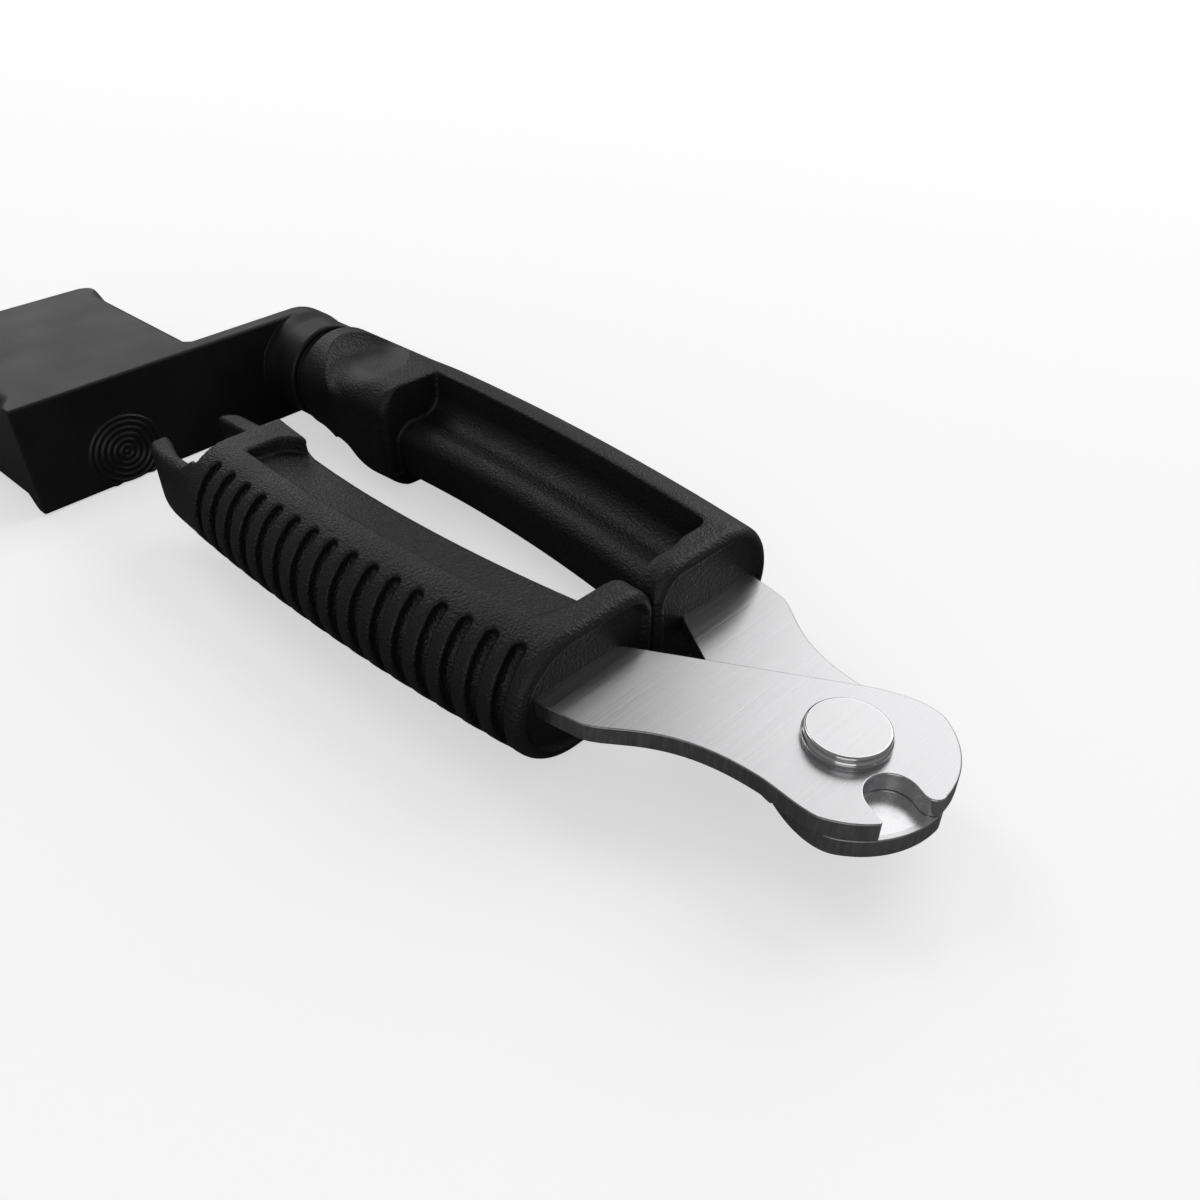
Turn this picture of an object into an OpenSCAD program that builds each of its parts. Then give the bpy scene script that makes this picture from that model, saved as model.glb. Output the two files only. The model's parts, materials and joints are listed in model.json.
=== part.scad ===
// Hand string winder with a string cutter and a bridge-pin fork.
// It lies flat and closed. +X points at the cutting jaws, +Y at the crank handle, +Z up.
// Shapes are drawn about the jaw pivot at mid-thickness, then placed() moves the
// pivot so that the origin is the centre of the underside of the bounding box.
// The two handles and the two jaws are one pattern each, turned over about X.

/* [Jaws] */
// Thickness of each steel jaw plate
jaw_t = 2.26; // [1.6:0.02:2.6]
// Radius of the round end of the jaws, about the pivot
jaw_r = 11.05; // [10.5:0.05:11.6]
// Radius of the cutting notch
notch_r = 2.73; // [2.2:0.01:3]
// Distance from the pivot to the centre of the notch
notch_reach = 8.0; // [7.6:0.1:8.4]
// Angle of the notch away from the centre line
notch_angle = 23.6; // [20:0.2:26]

/* [Pivot rivet] */
// Radius of the rivet head
head_r = 4.6; // [4:0.1:5.2]
// Height of the rivet head
head_h = 1.6; // [1.2:0.1:2]
// Radius of the rivet shank
shank_r = 2.5; // [2:0.1:3]
// Radius of the washer under the lower jaw
washer_r = 4.4; // [4:0.1:5]
// Thickness of the washer
washer_t = 0.6; // [0.4:0.1:1]

/* [Handles] */
// Overall thickness of the handles and of the crank
body_h = 17; // [16.8:0.1:17.4]
// Radius of the round back of each grip
bar_r = 8.4; // [8.3:0.05:8.5]
// Distance of the grip's spine from the centre line, at its widest
spine_y = 16.2; // [15.8:0.1:16.6]
// Bow radius of the grip's spine in plan
spine_bow = 350; // [300:10:450]
// Place of the widest point of the bow along X
bow_x = -76; // [-78:1:-72]
// Thickness of the collar where a jaw enters
collar_w = 4.1; // [3.5:0.1:5]
// Number of finger grooves on each back
groove_count = 16; // [8:1:16]
// Pitch of the finger grooves
groove_pitch = 3.67; // [3.4:0.01:3.69]
// Width of one finger groove
groove_w = 1.7; // [1.2:0.1:2]
// Depth of the finger grooves
groove_d = 1.6; // [0.8:0.1:1.8]

/* [Bridge-pin fork] */
// Width of the seat between the claws
fork_seat_w = 9.8; // [9:0.1:10]
// Width of the mouth between the claw tips
fork_mouth = 7.8; // [7:0.1:8.5]

/* [Crank] */
// Tilt of the crank's axis away from X
crank_tilt = 2.5; // [0:0.1:3]
// Throw from the crank's axis to the centre of the socket
crank_throw = 33; // [32:0.5:36]
// Thickness of the crank's arm
arm_t = 3.6; // [3.2:0.1:4.5]
// Length of the socket head, with the arm
socket_len = 38; // [34:1:42]
// Width of the socket head
socket_w = 31; // [29:0.5:33]
// Width of the peg socket
socket_in_w = 24; // [21:0.5:25]
// Height of the peg socket
socket_in_h = 11; // [9:0.5:12]
// Depth of the peg socket
socket_depth = 28; // [22:1:30]

/* [Crank bearing] */
// Radius of the crank's hub at its lip
hub_r = 8.1; // [7.8:0.1:8.4]
// Radius of the steel spindle
spindle_r = 2.2; // [1.8:0.1:2.6]
// Wall of the bearing bush
bush_wall = 1.4; // [1.2:0.1:2]
// Length of the bearing bush
bush_len = 13; // [10:0.5:14]
// Running clearance of each moving pair, on the radius
running_gap = 0.05; // [0.02:0.01:0.1]

/* [Hidden] */
$fn = 96;

half_h = body_h / 2;          // half thickness, and height of the mid-plane above the table
face_gap = 0.02;              // each side of a sliding face
tail_h = 1.1;                 // height of the rivet's formed tail
tail_r = 3.9;                 // radius of the rivet's formed tail
mouth_inner_r = 1.2;          // rounding of the notch's mouth, on the handle's side
mouth_outer_r = 0.35;         // and on the other side

// Plan places along X, from the pivot
jaw_rear_x = -25.4;           // front face of the handles, where the jaws enter
collar_rear_x = jaw_rear_x - collar_w;
trough_end_x = -84.8;         // far end of the trough and of the panel
neck_face_x = -109.4;         // end face of the crank handle's neck
fork_tip_x = -102;            // claw tips
fork_seat_x = -88;            // floor of the fork's seat
fork_y = 16;                  // centre line of the fork's seat
claw_inner_y = 8.3;           // sides of the fork, towards the other handle and away
claw_outer_y = 23.4;
groove_x = -84.4;             // first finger groove
tang_end_x = -62;             // hidden end of each jaw's tang

// Bend centres of the grip, in plan
spine_r = spine_bow;
spine_c = [bow_x, spine_y - spine_r];
inner_r = 205;                // bow of the inner face
inner_c = [-68, 9.2 - inner_r];

// Heights in the grip's section, trough side up
floor_z = 2.0;                // trough floor, above the hidden jaw tang
panel_z = -6.2;               // panel's inner edge, on the other side

// Crank axis: passes through the neck's end face, and the arm's near face
axis_y = 14.63;
arm_gap = 9.3;                // from the neck's end face to the arm
arm_at = [neck_face_x - arm_gap * cos(crank_tilt), axis_y - arm_gap * sin(crank_tilt)];
socket_corner = 2.5;          // plan corner radius of the socket head
socket_side = -crank_throw + socket_w / 2;

// Crank bearing: distances from the arm's near face towards the neck
lip_x = 7.5;                  // hub's lip
lip_edge = 0.4;
spigot_r = 7.1;               // hub's spigot, behind the lip
spigot_x = 8.3;
thrust_r = 6.4;               // thrust washer
thrust_x0 = spigot_x + 0.1;
thrust_x1 = arm_gap - face_gap;
bore_depth = 20;              // blind bore in the neck
bush_r = spindle_r + running_gap + bush_wall;
seat_depth = 1.6;             // how far the spindle is sunk in the arm
ring_w = 0.9;                 // retaining ring, its groove in the spindle and its slit
ring_x = arm_gap + bush_len + 0.1;
ring_groove = 0.5;
ring_play = 0.05;
ring_slit = 1.4;
spindle_end = ring_x + ring_w + 1.6;
spindle_chamfer = 0.5;

// Palm swell beside the neck
swell_c = [-92, 18.3];
swell_r = 13;
swell_edge = 4.5;
dimple_c = [-97, 12.5];       // thumb rests, each part of a large ball
dimple_r = 25;
dimple_d = 1.3;

// Bounding box, so that the origin is the centre of its underside
function crank_to_plan(p) = arm_at + [p.x * cos(crank_tilt) - p.y * sin(crank_tilt),
                                      p.x * sin(crank_tilt) + p.y * cos(crank_tilt)];
low_x = crank_to_plan([-socket_len + socket_corner, socket_side - socket_corner]).x - socket_corner;
low_y = crank_to_plan([-socket_len + socket_corner, socket_side - socket_w + socket_corner]).y
        - socket_corner;
high_y = spine_y + bar_r;
shift = [-(low_x + jaw_r) / 2, -(low_y + high_y) / 2, half_h];

// Points on an arc, and on a smooth curve with two handles
function arc(c, r, a0, a1, n = 12) =
    [for (i = [0 : n]) let (a = a0 + (a1 - a0) * i / n) c + r * [cos(a), sin(a)]];
function curve(a, b, c, d, n = 12) =
    [for (i = [1 : n - 1]) let (t = i / n, s = 1 - t)
        s * s * s * a + 3 * s * s * t * b + 3 * s * t * t * c + t * t * t * d];

module placed() { translate(shift) children(); }
module turned_over() { rotate([180, 0, 0]) children(); }
module on_crank_axis() { translate(arm_at) rotate(crank_tilt) children(); }

// A ring about the crank's axis: r0 to r1, from x0 to x1 measured from the arm's near face
module axis_ring(r0, r1, x0, x1) {
    on_crank_axis() rotate([0, 90, 0]) rotate_extrude()
        translate([r0, x0]) square([r1 - r0, x1 - x0]);
}

// ---- jaws ----

// One jaw's visible outline and its hidden tang, crank side
module jaw_outline() {
    disc_a = 70;              // where the disc meets the outer edge
    disc_b = -59.5;           // where the disc meets the inner edge
    neck_out = [-3, 10.15];
    shoulder = [-20.5, 17.1];
    neck_in = [-3.6, -7.7];
    polygon(concat(
        [[jaw_rear_x, 18], shoulder],
        curve(shoulder, [-17, 16.2], [-14.5, 10.4], neck_out),
        [neck_out],
        curve(neck_out, [-1, 10.1], [1.6, 10.7], jaw_r * [cos(disc_a), sin(disc_a)], 6),
        arc([0, 0], jaw_r, disc_a, disc_b, 36),
        curve(jaw_r * [cos(disc_b), sin(disc_b)], [3.8, -10.5], [0.6, -10.1], neck_in, 8),
        [neck_in, [jaw_rear_x, 5]],
        [[-30, 8.6], [-48, 10.8], [-53, 10.4], [tang_end_x, 11.4]],
        [[tang_end_x, 18.6], [-53, 18.6], [-48, 17.6], [-30, 17.4]]
    ));
}

// Round corner where the notch's wall meets the disc; side is 1 or -1
module mouth_corner(r, side) {
    y = notch_r + r;
    x = sqrt((jaw_r - r) * (jaw_r - r) - y * y);
    far = jaw_r + 1;
    difference() {
        polygon([[x, 0], [far, 0], far / norm([x, y]) * [x, side * y], [x, side * y]]);
        translate([x, side * y]) circle(r = r);
    }
}

// The notch is a round seat with a straight way out at the same width
module notch() {
    rotate(notch_angle) {
        translate([notch_reach, 0]) circle(r = notch_r);
        translate([notch_reach, -notch_r]) square([jaw_r, 2 * notch_r]);
        mouth_corner(mouth_outer_r, 1);
        mouth_corner(mouth_inner_r, -1);
    }
}

module jaw(bore_r) {
    translate([0, 0, -jaw_t - face_gap]) linear_extrude(jaw_t) difference() {
        jaw_outline();
        notch();
        circle(r = bore_r);
    }
}

module lower_jaw() {
    placed() color("silver") jaw(shank_r);
}

module upper_jaw() {
    placed() color("silver") turned_over() jaw(shank_r + running_gap);
}

// ---- pivot ----

module pivot_rivet() {
    rim = 0.45;               // rounding of the head's rim
    top = jaw_t + 2 * face_gap;
    under = -jaw_t - face_gap - washer_t;
    placed() color("gainsboro") rotate_extrude() polygon(concat(
        [[0, under - tail_h], [tail_r - 0.6, under - tail_h], [tail_r, under - 0.5], [tail_r, under]],
        [[shank_r, under], [shank_r, top], [head_r, top]],
        arc([head_r - rim, top + head_h - rim], rim, 0, 90, 6),
        [[0, top + head_h]]
    ));
}

module pivot_washer() {
    placed() color("darkgray") translate([0, 0, -jaw_t - face_gap - washer_t])
        linear_extrude(washer_t) difference() {
            circle(r = washer_r);
            circle(r = shank_r);
        }
}

// ---- handles ----

// Sweeps a section, drawn in Y and Z, along the bowed spine between two X places
module along_spine(x0, x1) {
    a0 = acos((x0 - spine_c.x) / spine_r);
    a1 = acos((x1 - spine_c.x) / spine_r);
    translate([spine_c.x, spine_c.y, 0]) rotate(a0) rotate_extrude(angle = a1 - a0, $fn = 360)
        translate([-spine_c.y, 0]) children();
}

// Section of the trough: steep outer wall, round floor, and a round lip to the inner face
module trough_section() {
    wall = [spine_y + 0.2, half_h + 1];
    floor_r = 3;
    lip_r = 2;
    lip = [9.0 + lip_r, floor_z - lip_r];
    polygon(concat(
        [wall, [wall.x - 0.3, floor_z + floor_r]],
        arc([wall.x - 0.3 - floor_r, floor_z + floor_r], floor_r, 0, -90, 8),
        arc(lip, lip_r, 90, 180, 8),
        [[4, lip.y], [4, half_h + 1]]
    ));
}

// Section of the sunk panel on the far side: it slopes from a crease down to the inner edge
module panel_section() {
    polygon([[4, panel_z], [9.2, panel_z], [spine_y - 0.6, -bar_r + 0.3],
             [spine_y - 0.6, -half_h - 1], [4, -half_h - 1]]);
}

// A band of the round back, cut from the panel's shoulder round to the trough's rim
module groove_section() {
    shoulder_a = -62;
    rim_a = 58;
    far = bar_r + 4;
    difference() {
        polygon(concat([[spine_y, 0]], arc([spine_y, 0], far, shoulder_a, rim_a, 10)));
        translate([spine_y, 0]) circle(r = bar_r - groove_d);
    }
}

module grooves() {
    step = groove_pitch / spine_r * 180 / PI;
    a0 = acos((groove_x - spine_c.x) / spine_r);
    half = groove_w / 2 / spine_r * 180 / PI;
    for (i = [0 : groove_count - 1])
        translate([spine_c.x, spine_c.y, 0]) rotate(a0 - half - i * step)
            rotate_extrude(angle = 2 * half, $fn = 360) translate([-spine_c.y, 0]) groove_section();
}

// The collar that a jaw comes out of: round outside, small corners inside
module collar_section() {
    corner = 4.2;
    back_y = spine_y - 3.9;
    inner = 0.05;
    translate([back_y, 0]) circle(r = bar_r);
    translate([inner + corner, -bar_r]) square([back_y - inner - corner, 2 * bar_r]);
    translate([inner, corner - bar_r]) square([corner, 2 * (bar_r - corner)]);
    for (side = [-1, 1]) translate([inner + corner, side * (bar_r - corner)]) circle(r = corner);
}

module collar() {
    translate([jaw_rear_x, 0, 0]) rotate([0, -90, 0]) rotate([0, 0, 90]) mirror([1, 0])
        rotate(180) linear_extrude(collar_w + 0.5) collar_section();
}

// The bowed grip with its trough, panel and grooves, between two X places
module grip(back_x) {
    difference() {
        union() {
            along_spine(collar_rear_x + 1, back_x) {
                translate([spine_y, 0]) circle(r = bar_r);
                translate([4, -bar_r]) square([spine_y - 4, 2 * bar_r]);
            }
            collar();
        }
        along_spine(collar_rear_x, trough_end_x) trough_section();
        along_spine(collar_rear_x, trough_end_x) panel_section();
        difference() {
            translate([inner_c.x, inner_c.y, -half_h - 1]) cylinder(r = inner_r, h = body_h + 2, $fn = 720);
            translate([collar_rear_x, -50, -half_h - 2]) cube([200, 100, body_h + 4]);
        }
        grooves();
    }
}

module tang_slot() {
    translate([0, 0, -jaw_t - face_gap]) linear_extrude(jaw_t) intersection() {
        jaw_outline();
        translate([tang_end_x - 1, 0]) square([jaw_rear_x - tang_end_x + 1, 40]);
    }
}

module neck() {
    edge = 0.6;
    reach = trough_end_x - neck_face_x;
    on_crank_axis() rotate([0, 90, 0]) rotate_extrude() polygon(concat(
        [[0, arm_gap]],
        arc([half_h - edge, arm_gap + edge], edge, -90, 0, 6),
        [[half_h, arm_gap + reach], [0, arm_gap + reach]]
    ));
    intersection() {
        translate([swell_c.x, swell_c.y, 0]) rotate_extrude() swell_section();
        translate([neck_face_x - 10, 0, -half_h])
            cube([trough_end_x - neck_face_x + 10, swell_c.y, body_h]);
    }
}

// Half section of the palm swell's round outline
module swell_section() {
    flat = swell_r - swell_edge;
    translate([0, -half_h]) square([flat, body_h]);
    translate([0, swell_edge - half_h]) square([swell_r, body_h - 2 * swell_edge]);
    for (side = [-1, 1]) translate([flat, side * (half_h - swell_edge)]) circle(r = swell_edge);
}

module thumb_dimples() {
    for (side = [-1, 1])
        translate([dimple_c.x, dimple_c.y, side * (half_h - dimple_d + dimple_r)])
            sphere(r = dimple_r, $fn = 180);
}

module crank_handle() {
    placed() color([0.09, 0.09, 0.1]) difference() {
        union() {
            grip(trough_end_x - 1);
            neck();
        }
        thumb_dimples();
        axis_ring(0, bush_r, arm_gap - 1, arm_gap + bore_depth);
        tang_slot();
    }
}

// Side shape of the fork end: a wedge that thins to the claw tips, crank-side up
module fork_side() {
    polygon([[trough_end_x + 2, -half_h], [fork_seat_x + 0.6, -half_h], [-90.6, -5.6],
             [fork_tip_x + 0.6, -4.7], [fork_tip_x, -4], [fork_tip_x, -0.5], [fork_tip_x + 0.5, 0.2], [-99.6, 3],
             [-96, 5.2], [-92, 7.2], [-88, half_h], [trough_end_x + 2, half_h]]);
}

// Plan of the fork end: straight on the inner side, tapering outside, with a squarish seat
module fork_plan() {
    root_x = trough_end_x + 2;
    taper_x = -94;
    tip_y = 21.3;
    tip_r = 1.1;
    corner = 2.5;
    side_y = fork_y - fork_seat_w / 2;
    hook_y = side_y + fork_mouth;
    far_y = side_y + fork_seat_w;
    tip = [fork_tip_x + tip_r, tip_y];
    difference() {
        polygon(concat(
            [[root_x, claw_inner_y], [root_x, claw_outer_y], [taper_x, claw_outer_y]],
            curve([taper_x, claw_outer_y], [-97, claw_outer_y], [-99.5, 22.4], tip, 6),
            [tip, [fork_tip_x, tip_y - tip_r]],
            [[fork_tip_x, claw_inner_y + tip_r], [fork_tip_x + tip_r, claw_inner_y]]
        ));
        polygon([[fork_tip_x - 1, side_y], [fork_tip_x - 1, hook_y], [-96, far_y - 0.6],
                 [fork_seat_x - 3, far_y], [fork_seat_x, far_y - 0.8], [fork_seat_x, side_y + corner],
                 [fork_seat_x - corner, side_y]]);
    }
}

module fork_end() {
    intersection() {
        translate([0, 40, 0]) rotate([90, 0, 0]) linear_extrude(40) fork_side();
        translate([0, 0, -half_h]) linear_extrude(body_h) fork_plan();
    }
}

module fork_handle() {
    placed() color([0.09, 0.09, 0.1]) turned_over() difference() {
        union() {
            grip(fork_seat_x + 0.5);
            fork_end();
        }
        tang_slot();
    }
}

// ---- crank ----

// Plan of the arm and the socket head, near face at x = 0, with the inside corner filled
module crank_plan() {
    fillet = 4;
    side = socket_side;
    near = socket_w / 2 - socket_corner;
    translate([-arm_t, side - 2]) square([arm_t, half_h - side + 2]);
    translate([-socket_len, -crank_throw]) {
        translate([socket_corner, -socket_w / 2]) square([socket_len - socket_corner, socket_w]);
        translate([0, -near]) square([socket_len, 2 * near]);
        for (y = [-near, near]) translate([socket_corner, y]) circle(r = socket_corner);
    }
    difference() {
        translate([-arm_t - fillet, side]) square(fillet);
        translate([-arm_t - fillet, side + fillet]) circle(r = fillet);
    }
}

module crank_arm() {
    placed() color([0.07, 0.07, 0.08]) difference() {
        union() {
            on_crank_axis() intersection() {
                translate([0, 0, -half_h]) linear_extrude(body_h) crank_plan();
                union() {
                    rotate([0, -90, 0]) cylinder(r = half_h, h = socket_len * 2, center = true);
                    translate([-socket_len * 1.5, -100, -half_h]) cube([socket_len * 2, 100, body_h]);
                }
            }
            on_crank_axis() rotate([0, 90, 0]) rotate_extrude() polygon(concat(
                [[0, -0.1], [half_h, -0.1], [half_h, 0]],
                curve([half_h, 0], [hub_r, 1.5], [hub_r, 3], [hub_r, lip_x - lip_edge], 6),
                [[hub_r, lip_x - lip_edge], [hub_r - lip_edge, lip_x], [spigot_r, lip_x]],
                [[spigot_r, spigot_x], [0, spigot_x]]
            ));
        }
        peg_socket();
        axis_ring(0, spindle_r, -seat_depth, spigot_x + 1);
    }
}

// The socket for the tuning peg's button: a straight pocket with a flared mouth
module peg_socket() {
    flare = 1.5;              // how far the mouth opens out, above and below
    flare_len = 3;
    corner = 2;
    on_crank_axis() translate([-socket_len, -crank_throw, 0]) {
        translate([-1, -socket_in_w / 2, -socket_in_h / 2 + corner])
            cube([socket_depth + 1, socket_in_w, socket_in_h - 2 * corner]);
        translate([-1, -socket_in_w / 2 + corner, -socket_in_h / 2])
            cube([socket_depth + 1, socket_in_w - 2 * corner, socket_in_h]);
        for (y = [-1, 1], z = [-1, 1])
            translate([-1, y * (socket_in_w / 2 - corner), z * (socket_in_h / 2 - corner)])
                rotate([0, 90, 0]) cylinder(r = corner, h = socket_depth + 1);
        for (z = [-1, 1]) translate([0, 0, z * socket_in_h / 2]) rotate([90, 0, 0])
            linear_extrude(socket_in_w - 2 * corner, center = true)
                polygon([[-1, -z], [flare_len, 0], [-1, z * flare]]);
    }
}

module crank_spindle() {
    groove_x0 = ring_x - ring_play;
    groove_x1 = ring_x + ring_w + ring_play;
    groove_r = spindle_r - ring_groove;
    placed() color("gray") on_crank_axis() rotate([0, 90, 0]) rotate_extrude() polygon([
        [0, -seat_depth], [spindle_r, -seat_depth], [spindle_r, groove_x0], [groove_r, groove_x0],
        [groove_r, groove_x1], [spindle_r, groove_x1], [spindle_r, spindle_end - spindle_chamfer],
        [spindle_r - spindle_chamfer, spindle_end], [0, spindle_end]
    ]);
}

module spindle_bush() {
    placed() color([0.16, 0.16, 0.17])
        axis_ring(spindle_r + running_gap, bush_r, arm_gap + face_gap, arm_gap + bush_len);
}

module thrust_washer() {
    placed() color([0.16, 0.16, 0.17]) axis_ring(spindle_r + running_gap, thrust_r, thrust_x0, thrust_x1);
}

module retaining_ring() {
    placed() color("gray") difference() {
        axis_ring(spindle_r - ring_groove, bush_r - 0.3, ring_x, ring_x + ring_w);
        on_crank_axis() translate([ring_x - 1, -ring_slit / 2, 0]) cube([ring_w + 2, ring_slit, 10]);
    }
}

crank_handle();
fork_handle();
lower_jaw();
upper_jaw();
pivot_rivet();
pivot_washer();
crank_arm();
crank_spindle();
spindle_bush();
thrust_washer();
retaining_ring();
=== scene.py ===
"""Looks of the string winder: moulded handles and crank, steel jaws and rivet, round the CAD frame.

Shapes are drawn in millimetres about the jaw pivot at mid-thickness: +X towards the jaws, +Y
towards the crank handle, +Z up. make() puts them in the row frame. The moulded pieces are signed
distance fields, each turned into a mesh of quads whose points lie on the field's zero surface.
"""

import json
import math

import bpy
import numpy as np
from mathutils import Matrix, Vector
from mathutils.geometry import delaunay_2d_cdt

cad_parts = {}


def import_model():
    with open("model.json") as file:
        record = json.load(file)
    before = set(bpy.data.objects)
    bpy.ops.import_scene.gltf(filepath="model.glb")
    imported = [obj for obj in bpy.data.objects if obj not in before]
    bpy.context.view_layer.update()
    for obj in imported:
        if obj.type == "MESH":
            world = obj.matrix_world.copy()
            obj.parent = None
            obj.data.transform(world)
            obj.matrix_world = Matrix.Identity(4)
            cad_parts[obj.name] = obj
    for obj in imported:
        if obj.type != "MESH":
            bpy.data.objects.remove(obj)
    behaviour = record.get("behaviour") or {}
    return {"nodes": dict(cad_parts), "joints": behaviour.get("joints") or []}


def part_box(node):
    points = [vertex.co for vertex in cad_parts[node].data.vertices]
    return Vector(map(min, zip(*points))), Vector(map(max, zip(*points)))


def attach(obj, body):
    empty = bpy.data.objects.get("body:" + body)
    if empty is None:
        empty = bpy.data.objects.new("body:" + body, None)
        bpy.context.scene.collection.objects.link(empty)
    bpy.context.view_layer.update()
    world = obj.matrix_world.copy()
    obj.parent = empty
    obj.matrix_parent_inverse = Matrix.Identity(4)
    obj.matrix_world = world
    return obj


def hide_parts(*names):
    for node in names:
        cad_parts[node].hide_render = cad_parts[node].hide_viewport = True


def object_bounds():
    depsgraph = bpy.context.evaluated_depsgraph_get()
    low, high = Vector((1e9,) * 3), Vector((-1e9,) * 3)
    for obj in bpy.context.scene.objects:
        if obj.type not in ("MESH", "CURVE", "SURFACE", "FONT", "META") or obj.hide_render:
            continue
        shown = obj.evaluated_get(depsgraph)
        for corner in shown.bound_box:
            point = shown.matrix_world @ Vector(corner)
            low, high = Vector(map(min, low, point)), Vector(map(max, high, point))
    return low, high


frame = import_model()
cad_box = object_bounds()
MM = 0.001
joints = {j["name"]: j for j in frame["joints"]}
PIVOT = Vector(joints["jaw_pivot"]["pos_m"])
CRANK_AXIS = Vector(joints["crank_spin"]["axis"])

# ---- sizes, in mm ----

half_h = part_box("crank_arm")[1].z / MM / 2      # half thickness of the mouldings
bar_r = 8.4                 # round back of each grip
spine_y, bow_r, bow_x = 16.2, 350, -76      # the spine is an arc: its highest point and radius
jaw_rear_x = -25.4          # front face of the handles
collar_rear_x = -29.5
trough_end_x = -84.8
panel_end_x = -83.6
front_x = -57               # ahead of it, a handle's inner face runs along the middle of the tool
front_inner_y = 0.05
swell_x = -92               # where the palm swell begins, behind the grip
neck_face_x = -109.4
fork_tip_x = -102
groove_edge_r = 0.35
crank_tilt = math.atan2(CRANK_AXIS.y, CRANK_AXIS.x) + math.pi
arm_gap = 9.3               # neck face to the crank arm
axis_y = 14.63              # crank axis at the neck's face
bush_r, bush_bore = 3.65, 20

jaw_r, notch_r, notch_reach = 11.05, 2.73, 8.0
notch_angle = math.radians(23.6)
jaw_t, face_gap = 2.26, 0.02
head_r, head_h, shank_r = 4.6, 1.6, 2.5

arm_t = 3.6
head_len, head_w = 38, 31
head_mid_y = -33
socket_w, socket_h, socket_depth = 24, 11, 28
hub_r, spigot_r, lip_x, spigot_x = 8.1, 7.1, 7.5, 8.3
spindle_r, spindle_depth = 2.2, 1.6     # of the blind hole in the arm


# ---- fields: negative inside, positive outside, in mm ----

def both(a, b, r):
    """Solid where both are; the edge between them is rounded to radius r."""
    corner = np.hypot(np.maximum(a + r, 0), np.maximum(b + r, 0))
    return np.minimum(np.maximum(a, b), -r) + corner


def either(a, b, r):
    """Solid where one of them is; the inside corner between them is filled to radius r."""
    return -both(-a, -b, r)


def cut(a, b, r):
    """The first solid without the second; the edge of the cut is rounded to radius r."""
    return both(a, -b, r)


def ease(x, x0, x1):
    """0 at x0 and before, 1 at x1 and after, smooth between."""
    t = np.clip((x - x0) / (x1 - x0), 0, 1)
    return t * t * (3 - 2 * t)


def bar_section(y, z, inner_y, corner, centre_y, half):
    """Section of a bar: round on the outer side, with two rounded corners on the inner side."""
    outer = np.hypot(y - centre_y, z) - half
    across, up = inner_y + corner - y, np.abs(z) - (half - corner)
    past_corner = np.hypot(np.maximum(across, 0), np.maximum(up, 0))
    inner = past_corner + np.minimum(np.maximum(across, up), 0) - corner
    return np.where(y > centre_y, outer, inner)


def spine(x):
    """Y of the grip's spine."""
    return spine_y - bow_r + np.sqrt(bow_r ** 2 - (x - bow_x) ** 2)


def hollows(x, y, z, end_x, inner_ends):
    """What is taken off the bar between its ends: the trough, the sunk panel and the inner face."""
    w = y - spine(x) + spine_y
    floor_z, floor_r, wall_w, wall_lean = 2.0, 3.0, 16.45, 0.06
    trough = both(floor_z - z, w - wall_w + wall_lean * (half_h - z), floor_r)
    crease_w, crease_r, crease_front_z, crease_rise = 16.3, 0.4, -8.25, 1.65
    edge_w, edge_z = 9.2, -6.1
    crease_z = crease_front_z + crease_rise * ease(x, -56, -80)
    slope = (crease_z - edge_z) / (crease_w - edge_w)
    sheet = (z - edge_z - slope * (w - edge_w)) / np.hypot(1, slope)
    panel = both(sheet, w - crease_w, crease_r)
    waist_x, waist_y, waist_curve = -68, 9.25, 410
    crown_h, crown_z, crown_half = 0.55, -2.2, 4
    crown = crown_h * np.clip(1 - ((z - crown_z) / crown_half) ** 2, 0, 1)
    inner = y - (waist_y - (x - waist_x) ** 2 / waist_curve) + crown
    lip_r, edge_r, trough_foot, panel_foot, lean = 2.3, 0.8, 0.5, 0.4, 0.12
    corner_y, corner_w, corner_x = 12.2, 3.2, 3.0       # the fork's panel ends in a rounded corner
    corner = 0 if inner_ends else corner_x * np.clip((corner_y - y) / corner_w, 0, 1.2) ** 2
    panel_wall = (end_x + lean * (half_h + z) + corner - x) / math.hypot(1, lean)
    if inner_ends:
        taken = either(either(trough, inner, lip_r), panel, edge_r)
        low = ease(z, -5.3, -6.0)
        wall = (end_x - x) * (1 - low) + panel_wall * low
        taken = both(taken, wall, trough_foot + (panel_foot - trough_foot) * low)
    else:
        trough = both(trough, end_x - x, trough_foot)
        panel = both(panel, panel_wall, panel_foot)
        taken = either(np.minimum(trough, panel), inner, np.where(z > -2, lip_r, edge_r))
    front_r = 1.5
    return both(taken, x - collar_rear_x, front_r)


def grooves(x, y, z):
    """Finger grooves round the back, each with round ends and a round floor."""
    count, pitch, first_x = 16, 3.67, -84.4
    half_w, depth = 0.85, 1.6
    w = y - spine(x) + spine_y
    along = bow_x + bow_r * np.arctan2(x - bow_x, y - spine_y + bow_r)
    nearest = np.clip(np.round((along - first_x) / pitch), 0, count - 1)
    side = along - first_x - nearest * pitch
    start, end = math.radians(-58), math.radians(35)
    angle = np.arctan2(z, w - spine_y)
    over = np.maximum(np.maximum(start - angle, angle - end), 0) * bar_r
    down = np.minimum(np.hypot(w - spine_y, z) - (bar_r - depth + half_w), 0)
    return np.hypot(np.hypot(side, over), down) - half_w


def collar(solid, section, x):
    """The rounded front rim of a handle and the face set back inside it."""
    rim_w, rim_r, front_r, inset = 1.5, 0.5, 1.3, 0.7
    solid = both(solid, x - jaw_rear_x, front_r)
    return cut(solid, both(section + rim_w, jaw_rear_x - inset - x, rim_r), rim_r)


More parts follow.
